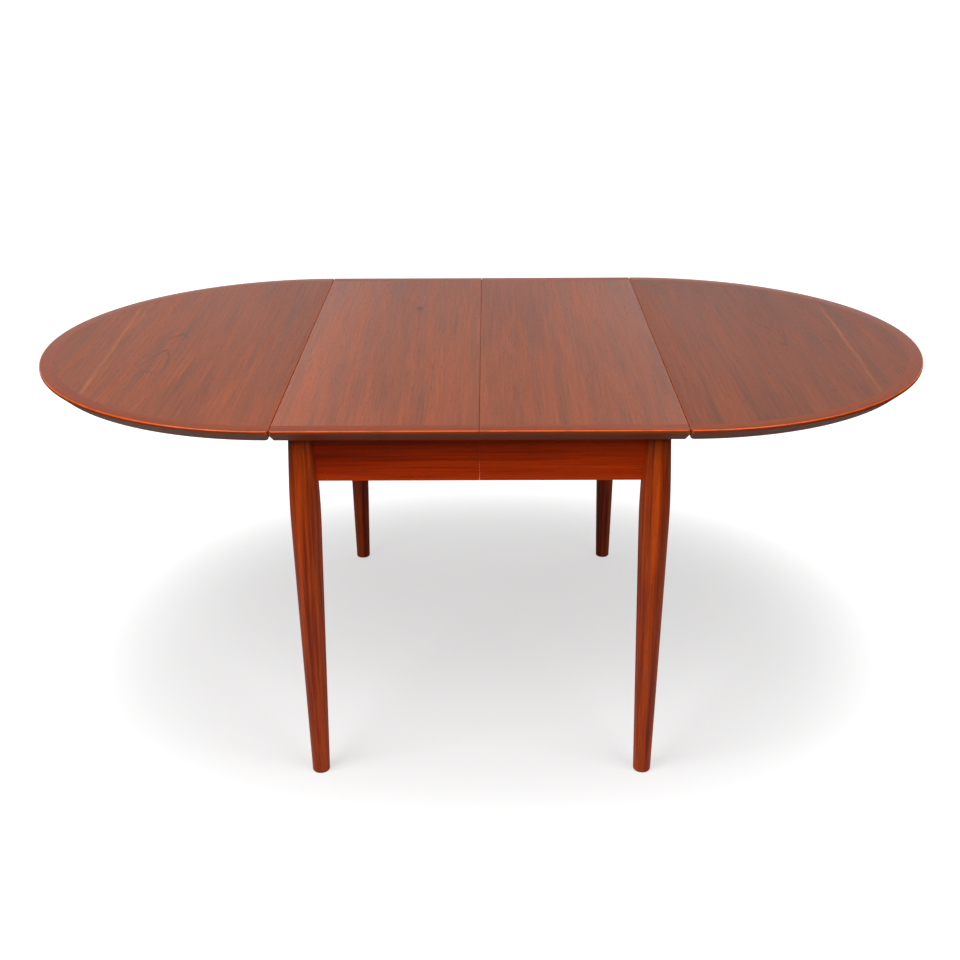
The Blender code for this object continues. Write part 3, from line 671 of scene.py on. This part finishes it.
# %% Make the straight lippings
def straight_lipping(side, front):
    """A strip along the front or back edge of one half of the centre."""
    edge = front * HALF_DEPTH
    bm = board((side * SPLIT_LINE, front * (FIELD_HALF_DEPTH + GLUE_LINE), UNDERSIDE),
               (side * CENTRE_END, edge, TABLE_TOP))
    foot = UNDERSIDE + UNDERCUT_HEIGHT
    cut(bm, (0, edge, foot), (0, front * UNDERCUT_HEIGHT, -UNDERCUT_WIDTH))
    ease(bm, edges_where(bm, lambda co: near(co.z, TABLE_TOP) and near(co.y, edge)),
         EDGE_ROUND, EDGE_CUTS)
    notch_centre(bm, side)
    round_corner(bm, (side * CENTRE_END, edge), side, front)
    open_groove(bm)
    return bm


for name, side, place, front in CORNERS:
    node = f"lipping_{name}_{place}"
    on_table(f"edge_strip_{name}_{place}", straight_lipping(side, front), teak_lipping,
             body_of(node), [node])

# %% [markdown]
# ## The fields of the centre
#
# The field is the veneered board inside the lippings. It is a plain board, but the
# underside carries recesses for the hinge plates, and the split edge has holes for the
# dowels. A Boolean makes those, because they are sunk into a finished board just as a
# router and a drill would sink them.

# %% Carve a piece with cutters
def carve(piece, cutters):
    """Cut other shapes out of a piece, keep the result and throw the cutters away."""
    for number, cutter in enumerate(cutters):
        bmesh.ops.recalc_face_normals(cutter, faces=cutter.faces)
        tool = add_object(f"cutter_{number}", mesh_from(f"cutter_{number}", cutter))
        modifier = piece.modifiers.new(f"cut_{number}", "BOOLEAN")
        modifier.operation = "DIFFERENCE"
        modifier.solver = "EXACT"
        modifier.object = tool
    graph = bpy.context.evaluated_depsgraph_get()
    carved = bpy.data.meshes.new_from_object(piece.evaluated_get(graph))
    for modifier in list(piece.modifiers):
        bpy.data.objects.remove(modifier.object)
        piece.modifiers.remove(modifier)
    old = piece.data
    piece.data = carved
    bpy.data.meshes.remove(old)
    carved.name = piece.name
    carved.set_sharp_from_angle(angle=SHARP)
    return piece


POCKET_ROOM = 0.0004            # play around a hinge plate or a dowel
PLATE_THICKNESS = 0.0016


def hinge_pocket(node, side):
    """A cutter around one hinge plate, which reaches past the seam and the underside."""
    low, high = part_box(node)
    seam = side * SEAM
    far = max((low.x, high.x), key=lambda x: abs(x - seam))
    return board((seam + (seam - far) * 0.05, low.y - POCKET_ROOM, UNDERSIDE - 0.004),
                 (far + math.copysign(POCKET_ROOM, far - seam), high.y + POCKET_ROOM,
                  UNDERSIDE + PLATE_THICKNESS + POCKET_ROOM))


def rod(box, room=0.0):
    """A round rod along X that fills a box; room makes it wider, and longer tenfold."""
    low, high = box
    radius = (high.z - low.z) / 2 + room
    bm = bmesh.new()
    bmesh.ops.create_cone(bm, cap_ends=True, segments=32, radius1=radius, radius2=radius,
                          depth=high.x - low.x + 10 * room)
    turn = Matrix.Rotation(math.radians(90), 4, "Y")
    bmesh.ops.transform(bm, matrix=Matrix.Translation((low + high) / 2) @ turn,
                        verts=bm.verts)
    bm.faces.layers.float.new("edge")
    return bm


# %% Make the centre fields
def centre_field(side):
    """The veneered board of one half."""
    bm = board((side * SPLIT_LINE, -FIELD_HALF_DEPTH + GLUE_LINE, UNDERSIDE),
               (side * CENTRE_END, FIELD_HALF_DEPTH - GLUE_LINE, TABLE_TOP))
    notch_centre(bm, side)
    ease_top_edges(bm, lambda co: near(co.x, side * CENTRE_END))
    open_groove(bm)
    return bm


for name, side in SIDES:
    node = f"top_{name}"
    piece = on_table(f"field_{name}", centre_field(side), veneer[node],
                     body_of(node), [node])
    cutters = [hinge_pocket(f"hinge_fixed_{place}_{name}", side) for place, _ in PLACES]
    cutters += [rod(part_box(f"dowel_{place}"), POCKET_ROOM)
                for place in ("front", "middle", "back")]
    carve(piece, cutters)

# %% [markdown]
# ## The leaves
#
# A leaf is half of an oval that is a little wider than it is deep. The oval comes from a
# circle that is stretched, raised into a board, cut away underneath with an inset that
# goes up as it goes in, and rounded on top with a bevel. Half of it is sawn off at the
# seam. An inset on both faces marks out the lipping, and bridging the two inner outlines
# leaves a ring.

# %% An oval board with the worked edge
OVAL_SIDES = 224


def oval(side, inset=0.0):
    """A flat oval sheet around the middle of a seam, smaller by an inset."""
    bm = bmesh.new()
    bmesh.ops.create_circle(bm, cap_ends=True, segments=OVAL_SIDES, radius=1.0)
    bmesh.ops.scale(bm, vec=(LEAF_REACH, HALF_DEPTH, 1.0), verts=bm.verts)
    bmesh.ops.translate(bm, vec=(side * SEAM, 0, 0), verts=bm.verts)
    bm.faces.layers.float.new("edge")
    if inset:
        ring = bmesh.ops.inset_region(bm, faces=bm.faces[:], thickness=inset,
                                      use_even_offset=True, use_boundary=True)
        bmesh.ops.delete(bm, geom=ring["faces"], context="FACES")
    return bm


def raise_sheet(bm, low, high):
    """Turn a flat sheet into a board from one height to another."""
    bmesh.ops.translate(bm, vec=(0, 0, low), verts=bm.verts)
    pushed = bmesh.ops.extrude_face_region(bm, geom=bm.faces[:])
    moved = [item for item in pushed["geom"] if isinstance(item, bmesh.types.BMVert)]
    bmesh.ops.translate(bm, vec=(0, 0, high - low), verts=moved)
    bmesh.ops.recalc_face_normals(bm, faces=bm.faces)


def flat_face(bm, height):
    """The widest level face at a height."""
    level = [face for face in bm.faces
             if near(face.calc_center_median().z, height) and abs(face.normal.z) > 0.9]
    return max(level, key=lambda face: face.calc_area())


# %% The ring of the leaf's lipping
def leaf_lipping(side):
    """The curved band around one leaf."""
    bm = oval(side)
    raise_sheet(bm, UNDERSIDE + UNDERCUT_HEIGHT, TABLE_TOP)
    under = flat_face(bm, UNDERSIDE + UNDERCUT_HEIGHT)
    bmesh.ops.inset_region(bm, faces=[under], thickness=UNDERCUT_WIDTH,
                           depth=UNDERCUT_HEIGHT, use_even_offset=True)
    ease(bm, edges_where(bm, lambda co: near(co.z, TABLE_TOP)), EDGE_ROUND, EDGE_CUTS)
    inner = []
    for height, width in ((TABLE_TOP, LIPPING_WIDTH - EDGE_ROUND),
                          (UNDERSIDE, LIPPING_WIDTH - UNDERCUT_WIDTH)):
        face = flat_face(bm, height)
        bmesh.ops.inset_region(bm, faces=[face], thickness=width - GLUE_LINE,
                               use_even_offset=True)
        inner.append(face)
    loops = [edge for face in inner for edge in face.edges]
    bmesh.ops.delete(bm, geom=inner, context="FACES_ONLY")
    bmesh.ops.bridge_loops(bm, edges=loops)
    bmesh.ops.recalc_face_normals(bm, faces=bm.faces)
    cut(bm, (side * LEAF_START, 0, 0), (-side, 0, 0))
    notch_leaf(bm, side)
    for front in (-1, 1):
        round_corner(bm, (side * LEAF_START, front * HALF_DEPTH), -side, front)
    return bm


def mark_grain(bm, side):
    """Give each point its place in the bent wood: across, along and up."""
    layer = bm.verts.layers.float_vector.new("grain")
    for vert in bm.verts:
        x, y = (vert.co.x - side * SEAM) * side, vert.co.y
        angle = math.atan2(y / HALF_DEPTH, x / LEAF_REACH)
        out = math.hypot(y / HALF_DEPTH, x / LEAF_REACH) * HALF_DEPTH
        vert[layer] = (out + side, angle * (LEAF_REACH + HALF_DEPTH) / 2, vert.co.z)


def leaf_field(side):
    """The veneered board of one leaf."""
    bm = oval(side, LIPPING_WIDTH + GLUE_LINE)
    raise_sheet(bm, UNDERSIDE, TABLE_TOP)
    cut(bm, (side * LEAF_START, 0, 0), (-side, 0, 0))
    notch_leaf(bm, side)
    ease_top_edges(bm, lambda co: near(co.x, side * LEAF_START))
    return bm


# %% Make the leaves
for name, side in SIDES:
    node = f"lipping_leaf_{name}"
    bm = leaf_lipping(side)
    mark_grain(bm, side)
    on_table(f"edge_ring_{name}", bm, teak_bent_lipping, body_of(node), [node])
    node = f"leaf_{name}"
    piece = on_table(f"leaf_field_{name}", leaf_field(side), veneer[node],
                     body_of(node), [node])
    carve(piece, [hinge_pocket(f"hinge_leaf_{place}_{name}", side) for place, _ in PLACES])

# %% [markdown]
# ## The legs
#
# A turned leg is the same all round, so its outline is drawn once and spun. From the foot
# it widens in a straight line to a shoulder, swells gently to a belly, and draws in again
# towards the top. A curve that is given its ends and its slopes there, called a Hermite
# curve, joins these without a kink.

# %% The outline of a leg
FOOT_RADIUS, FOOT_ROUND = 0.0167, 0.003
SHOULDER = (0.4764, 0.0264)     # height and radius
BELLY = (0.5606, 0.0277)
LEG_TOP = (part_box("leg_front_left")[1].z, 0.0231)
LEG_TOP_SLOPE = -0.035
TAPER = (SHOULDER[1] - FOOT_RADIUS) / SHOULDER[0]
LEG_SIDES = 72


def swell(start, end, start_slope, end_slope, share):
    """Radius at a share of the way between two heights."""
    span = end[0] - start[0]
    body = (1 + 2 * share) * (1 - share) ** 2 * start[1] + share ** 2 * (3 - 2 * share) * end[1]
    bend = share * (1 - share) ** 2 * start_slope - share ** 2 * (1 - share) * end_slope
    return body + span * bend


def leg_outline():
    """Points of radius and height from the foot to the top."""
    points = [(0.0, 0.0)]
    for turn in range(0, 91, 15):
        lean = math.radians(turn)
        points.append((FOOT_RADIUS - FOOT_ROUND * (1 - math.sin(lean)),
                       FOOT_ROUND * (1 - math.cos(lean))))
    for step in range(1, 9):
        height = FOOT_ROUND + (SHOULDER[0] - FOOT_ROUND) * step / 8
        points.append((FOOT_RADIUS + TAPER * height, height))
    for start, end, slopes, steps in ((SHOULDER, BELLY, (TAPER, 0.0), 8),
                                      (BELLY, LEG_TOP, (0.0, LEG_TOP_SLOPE), 16)):
        for step in range(1, steps + 1):
            share = step / steps
            points.append((swell(start, end, *slopes, share),
                           start[0] + (end[0] - start[0]) * share))
    points.append((0.0, LEG_TOP[0]))
    return points


# %% Spin the legs
def spin_outline(outline, steps):
    """Spin points of radius and height all the way round the Z axis."""
    bm = bmesh.new()
    line = [bm.verts.new((radius, 0.0, height)) for radius, height in outline]
    edges = [bm.edges.new(pair) for pair in zip(line, line[1:])]
    bmesh.ops.spin(bm, geom=line + edges, axis=(0, 0, 1), cent=(0, 0, 0),
                   angle=2 * math.pi, steps=steps, use_merge=True)
    bmesh.ops.remove_doubles(bm, verts=bm.verts, dist=0.00001)
    bmesh.ops.recalc_face_normals(bm, faces=bm.faces)
    return bm


for name, side, place, front in CORNERS:
    node = f"leg_{place}_{name}"
    low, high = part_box(node)
    bm = spin_outline(leg_outline(), LEG_SIDES)
    bmesh.ops.translate(bm, vec=((low.x + high.x) / 2, (low.y + high.y) / 2, 0),
                        verts=bm.verts)
    bm.faces.layers.float.new("edge")
    on_table(f"turned_{node}", bm, teak_leg, body_of(node), [node])

# %% [markdown]
# ## Rails, runners, bars and brackets
#
# The aprons, the sliding runners, the pull-out bars and their brackets are straight
# joinery whose shape is already right. What they lack is the soft edge that a plane or
# sandpaper leaves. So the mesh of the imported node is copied, merged and cleaned of the
# lines inside its flat faces, and its long outer edges are eased.

# %% Copy a node with eased edges
def eased_copy(node, name, finish, radius=0.0008, shortest=0.012, skip=None,
               reshape=None):
    """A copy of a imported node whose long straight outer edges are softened."""
    bm = bmesh.new()
    bm.from_mesh(frame["nodes"][node].data)
    bmesh.ops.remove_doubles(bm, verts=bm.verts, dist=0.00001)
    bmesh.ops.dissolve_limit(bm, angle_limit=math.radians(0.5), verts=bm.verts,
                             edges=bm.edges)
    if reshape:
        reshape(bm)
    bm.faces.layers.float.new("edge")
    chosen = []
    for edge in bm.edges:
        run = edge.verts[1].co - edge.verts[0].co
        straight = max(abs(value) for value in run) > 0.999 * run.length
        if (straight and run.length > shortest and len(edge.link_faces) == 2
                and edge.calc_face_angle_signed(0.0) > math.radians(50)
                and not (skip and skip(edge))):
            chosen.append(edge)
    ease(bm, chosen, radius, 3)
    return on_table(name, bm, finish, body_of(node), [node])


def touches_top(edge):
    """True for an edge that lies against the underside of the top."""
    return all(vert.co.z > UNDERSIDE - 0.0015 for vert in edge.verts)


def at_split(vert):
    """True for a point on the end of an apron that faces the other half."""
    return abs(vert.co.x) < 0.0015


def close_split(bm):
    """Bring the split ends of the aprons together, tightest at the top."""
    for vert in filter(at_split, bm.verts):
        drop = UNDERSIDE - vert.co.z
        vert.co.x = math.copysign(SPLIT_LINE + 0.0012 * drop, vert.co.x)


def top_or_split(edge):
    """True for an edge under the top, or at the split, where the ends stay crisp."""
    return touches_top(edge) or all(at_split(vert) for vert in edge.verts)


# %% Aprons, blocks, brackets and bars
for name, side in SIDES:
    eased_copy(f"apron_end_{name}", f"end_rail_{name}", teak_rail_y,
               0.0012, 0.02, touches_top)
    for place, front in PLACES:
        tag = f"{place}_{name}"
        eased_copy(f"apron_{tag}", f"rail_{tag}", teak_rail_x, 0.0012, 0.02,
                   top_or_split, close_split)
        eased_copy(f"block_{tag}", f"corner_block_{tag}", beech, 0.001, 0.03,
                   touches_top)
        eased_copy(f"guide_{tag}", f"bracket_{tag}", beech, skip=touches_top,
                   shortest=0.02)
        eased_copy(f"loper_{tag}", f"pull_bar_{tag}", teak_rail_x)

# %% Runners
for place, _ in PLACES:
    for which in ("left", "middle", "right"):
        eased_copy(f"runner_{which}_{place}", f"slide_{which}_{place}", beech)

# %% [markdown]
# ## Dowels
#
# A dowel has a small chamfer at each end so that it finds its hole. A cone with equal
# radii is a rod, and a bevel on its two rims gives the chamfers.

# %% Make the dowels
for place in ("front", "middle", "back"):
    node = f"dowel_{place}"
    bm = rod(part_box(node))
    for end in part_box(node):
        ease(bm, edges_where(bm, lambda co: near(co.x, end.x)), 0.001)
    on_table(f"round_{node}", bm, beech, body_of(node), [node])

# %% [markdown]
# ## Hinges
#
# The hinge plates, knuckles and pins have the right shape already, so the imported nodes
# stay and only get their metal.

# %% Give the hinges their metal
for name, _, place, _ in CORNERS:
    for kind, finish in (("hinge_fixed", brass), ("hinge_leaf", brass), ("pin", steel)):
        for slot in frame["nodes"][f"{kind}_{place}_{name}"].material_slots:
            slot.material = finish
print("hinges dressed in", brass.name, "and", steel.name)

# %% [markdown]
# ## Screws
#
# Slotted screws hold the hinges, the corner blocks, the brackets and the runners. They
# are countersunk, so only the flat of the head shows. One head is spun from its outline
# and its slot is cut with a Boolean. The screws are copies of it, and those in one set are
# turned to different angles, because no two screws stop at the same one.

# %% One screw head, seen from below
HEAD_OUTLINE = ((0.0, -0.0002), (0.0029, -0.0002), (0.0032, 0.0), (0.0018, 0.0013),
                (0.0, 0.0013))
head = add_object("screw_head", mesh_from("screw_head", spin_outline(HEAD_OUTLINE, 28)))
carve(head, [board((-0.004, -0.0004, -0.001), (0.004, 0.0004, 0.0005))])
head_mesh = head.data
bpy.data.objects.remove(head)
print("screw head has", len(head_mesh.polygons), "faces")


# %% Set the screws
def set_screws(name, spots, finish, body):
    """One piece with a screw head at every spot, all facing down."""
    bm = bmesh.new()
    for number, spot in enumerate(spots):
        before = len(bm.verts)
        bm.from_mesh(head_mesh)
        turn = Matrix.Rotation(math.radians(25 + 67 * number), 4, "Z")
        bmesh.ops.transform(bm, matrix=Matrix.Translation(spot) @ turn,
                            verts=bm.verts[before:])
    on_table(name, bm, finish, body)


PLATE_SCREWS = ((0.007, -0.021), (0.014, 0.0), (0.007, 0.021))  # from far end and middle
BRACKET_INSET = 0.0052
BLOCK_INSET = 0.016
RUNNER_SCREWS = (0.04, 0.15, 0.26)      # from the split
RUNNER_LANE = 0.0025                    # how far they stand beside the runner's middle

for name, side, place, front in CORNERS:
    tag = f"{place}_{name}"
    for kind in ("fixed", "leaf"):
        node = f"hinge_{kind}_{tag}"
        low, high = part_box(node)
        far = max((low.x, high.x), key=lambda x: abs(abs(x) - SEAM))
        inward = math.copysign(1.0, side * SEAM - far)
        set_screws(f"screws_{node}",
                   [(far + inward * along, (low.y + high.y) / 2 + across, UNDERSIDE)
                    for along, across in PLATE_SCREWS], brass, body_of(node))
    node = f"guide_{tag}"
    low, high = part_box(node)
    set_screws(f"screws_{node}", [((low.x + high.x) / 2, y, low.z) for y in
                                  (low.y + BRACKET_INSET, high.y - BRACKET_INSET)],
               steel, body_of(node))
    node = f"block_{tag}"
    low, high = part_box(node)
    set_screws(f"screw_{node}", [(side * (max(abs(low.x), abs(high.x)) - BLOCK_INSET),
                                  front * (max(abs(low.y), abs(high.y)) - BLOCK_INSET),
                                  low.z)], steel, body_of(node))
    node = f"runner_{name}_{place}"
    low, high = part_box(node)
    lane = (low.y + high.y) / 2 - side * front * RUNNER_LANE
    set_screws(f"screws_{node}", [(side * x, lane, low.z) for x in RUNNER_SCREWS],
               steel, body_of(node))

# %% [markdown]
# ## Floor and light
#
# The room is a plain white studio. Its white floor has lights of its own, so it looks
# bright, while little of that light comes back to the table. The Light Path node tells the
# two cases apart: the floor that is seen directly is pale and glows, least in an oval under
# the table, and the floor that lights or mirrors in the wood is dim. From below the floor is
# clear, so that the underside of the table can be looked at.

# %% Floor
GLOW_UNDER = 0.56                   # glow of the seen floor under the table
GLOW_OVAL = (("X", 0.0, 0.87), ("Y", 0.07, 0.76))   # middle and reach of that oval
POOL_NEAR, POOL_FAR = 0.48, 0.04    # how much light the floor gives back
bm = bmesh.new()
bmesh.ops.create_grid(bm, x_segments=2, y_segments=2, size=30.0)
floor = add_object("floor", mesh_from("floor", bm))
floor_paint, tree = new_material("Pale floor")
tree.nodes.clear()
seen_paint = put(tree, "ShaderNodeBsdfDiffuse", {"Color": (0.45, 0.45, 0.45, 1.0)})
place = put(tree, "ShaderNodeTexCoord").outputs["Object"]
distance = put(tree, "ShaderNodeVectorMath", {0: place}, operation="LENGTH").outputs["Value"]
parts = put(tree, "ShaderNodeSeparateXYZ", {0: place})
spread = 0.0
for axis, centre, reach in GLOW_OVAL:
    part = maths(tree, "ABSOLUTE", maths(tree, "SUBTRACT", parts.outputs[axis], centre))
    part = maths(tree, "POWER", maths(tree, "DIVIDE", part, reach), 2.5)
    spread = maths(tree, "ADD", part, spread)
glow_level = ramp(tree, spread, 0.35, 1.9, GLOW_UNDER, 1.0)
seen_glow = put(tree, "ShaderNodeEmission", {"Color": (1.0, 1.0, 1.0, 1.0),
                                             "Strength": glow_level})
seen_floor = put(tree, "ShaderNodeAddShader", {0: seen_paint.outputs[0],
                                               1: seen_glow.outputs[0]})
pool = ramp(tree, distance, 0.9, 2.0, POOL_NEAR, POOL_FAR)
pool_colour = put(tree, "ShaderNodeCombineColor", {0: pool, 1: pool, 2: pool}).outputs[0]
dim_floor = put(tree, "ShaderNodeBsdfDiffuse", {"Color": pool_colour})
by_camera = put(tree, "ShaderNodeLightPath").outputs["Is Camera Ray"]
floor_mix = put(tree, "ShaderNodeMixShader", {0: by_camera, 1: dim_floor.outputs[0],
                                              2: seen_floor.outputs[0]})
below = put(tree, "ShaderNodeNewGeometry").outputs["Backfacing"]
below = maths(tree, "MULTIPLY", below, by_camera)
clear = put(tree, "ShaderNodeBsdfTransparent")
floor_mix = put(tree, "ShaderNodeMixShader", {0: below, 1: floor_mix.outputs[0],
                                              2: clear.outputs[0]})
put(tree, "ShaderNodeOutputMaterial", {"Surface": floor_mix.outputs[0]})
floor.data.materials.append(floor_paint)
print("floor laid")

# %% Sky of the studio
SKY_LOW, SKY_HIGH, SKY_BACK = 0.02, 0.32, 1.45
world = bpy.data.worlds.new("studio")
bpy.context.scene.world = world
world.use_nodes = True
sky = world.node_tree
sky.nodes.clear()
direction = put(sky, "ShaderNodeTexCoord").outputs["Generated"]
parts = put(sky, "ShaderNodeSeparateXYZ", {0: direction})
sky_light = ramp(sky, parts.outputs["Z"], 0.15, 0.8, SKY_LOW, SKY_HIGH)
back_light = ramp(sky, parts.outputs["Z"], 0.10, 0.36, SKY_BACK, 0.0)
back_light = maths(sky, "MULTIPLY", back_light,
                   ramp(sky, parts.outputs["Y"], 0.35, 0.9))
sky_light = maths(sky, "ADD", sky_light, back_light)
seen = put(sky, "ShaderNodeLightPath").outputs["Is Camera Ray"]
strength = maths(sky, "MAXIMUM", sky_light, maths(sky, "MULTIPLY", seen, 1.1))
glow = put(sky, "ShaderNodeBackground", {"Color": (1.0, 1.0, 1.0, 1.0),
                                         "Strength": strength})
put(sky, "ShaderNodeOutputWorld", {"Surface": glow.outputs[0]})
print("sky brightness from", SKY_LOW, "at the horizon to", SKY_HIGH, "overhead")

# %% Lamps
def soft_lamp(name, place, target, width, height, power):
    """A large rectangular lamp that looks at a point."""
    data = bpy.data.lights.new(name, "AREA")
    data.shape = "RECTANGLE"
    data.size = width
    data.size_y = height
    data.energy = power
    lamp = add_object(name, data)
    lamp.location = place
    aim = Vector(target) - Vector(place)
    lamp.rotation_euler = aim.to_track_quat("-Z", "Y").to_euler()
    print("lamp", name, "at", place)


soft_lamp("lamp_left", (-2.2, -2.2, 3.2), (0, 0, 0.5), 2.4, 2.4, 94.0)
soft_lamp("lamp_right", (2.2, -2.2, 3.2), (0, 0, 0.5), 2.4, 2.4, 56.0)
soft_lamp("lamp_above", (0.0, 0.2, 3.2), (0, 0, 0.7), 3.0, 2.0, 24.0)
bpy.context.scene.view_settings.view_transform = "Standard"
bpy.context.scene.view_settings.look = "None"

# %% [markdown]
# ## Measure and finish
#
# The dressed model must not outgrow the imported one. The box of the imported model is
# printed here.

# %% Write the size of the imported model
print("CAD box", [list(corner) for corner in cad_box])
